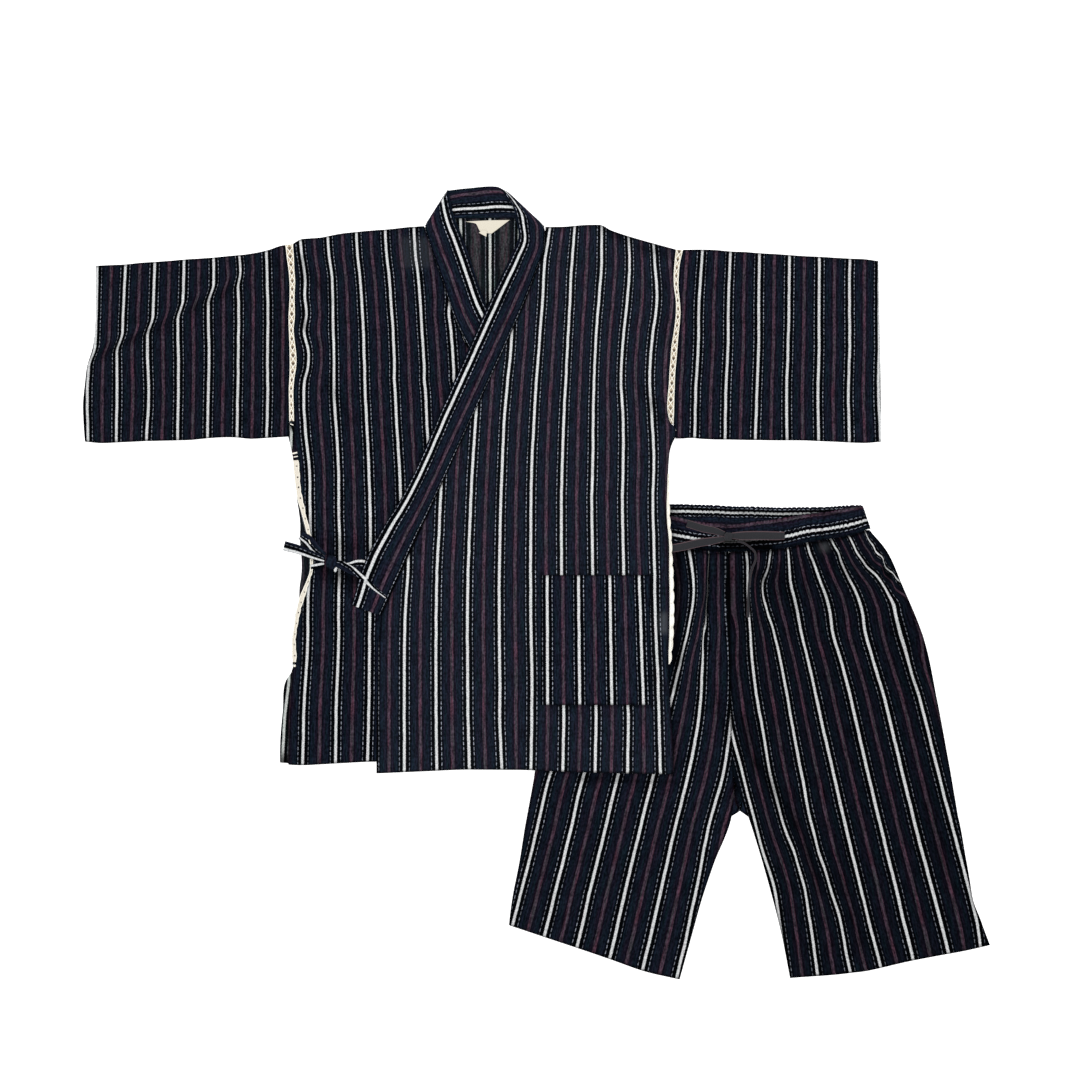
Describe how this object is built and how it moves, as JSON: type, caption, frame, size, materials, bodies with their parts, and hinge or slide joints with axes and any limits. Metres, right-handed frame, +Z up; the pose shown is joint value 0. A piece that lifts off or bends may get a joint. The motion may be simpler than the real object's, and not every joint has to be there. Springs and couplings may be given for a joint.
{
  "type": "jinbei set",
  "caption": "Summer lounge set laid flat: a short-sleeved wrap jacket with side ties and a patch pocket, lying partly over its knee-length drawstring shorts.",
  "frame": {"origin": "on the surface that the set lies on, at the middle of its outline seen from above", "axes": "+X towards the wearer's left, +Y towards the jacket's collar, +Z up, out of the cloth's front side"},
  "size_m": [1.3145, 1.1486, 0.0144],
  "materials": {
    "striped_cotton": "matt slubbed cotton, dark indigo with fine white, black and plum stripes",
    "cream_lace": "cotton ladder lace",
    "label_satin": "woven label tape, bare",
    "grey_tape": "flat woven tape, grey-brown"
  },
  "bodies": {
    "root": {"back_body": "striped_cotton", "right_front": "striped_cotton", "left_front": "striped_cotton", "collar": "striped_cotton", "right_sleeve": "striped_cotton", "left_sleeve": "striped_cotton", "pocket": "striped_cotton", "tie_lead": "striped_cotton", "tie_loop": "striped_cotton", "tie_strap": "striped_cotton", "tie_knot": "striped_cotton", "tie_right_tail": "striped_cotton", "tie_left_tail": "striped_cotton", "right_leg_front": "striped_cotton", "left_leg_front": "striped_cotton", "right_leg_back": "striped_cotton", "left_leg_back": "striped_cotton", "waistband": "striped_cotton", "right_armhole_lace": "cream_lace", "left_armhole_lace": "cream_lace", "right_side_lace": "cream_lace", "left_side_lace": "cream_lace", "neck_label": "label_satin", "size_tab": "label_satin", "drawstring_knot": "grey_tape", "drawstring_left_tail": "grey_tape", "drawstring_left_loop": "grey_tape", "drawstring_right_loop": "grey_tape", "drawstring_tail": "grey_tape"}
  },
  "joints": []
}
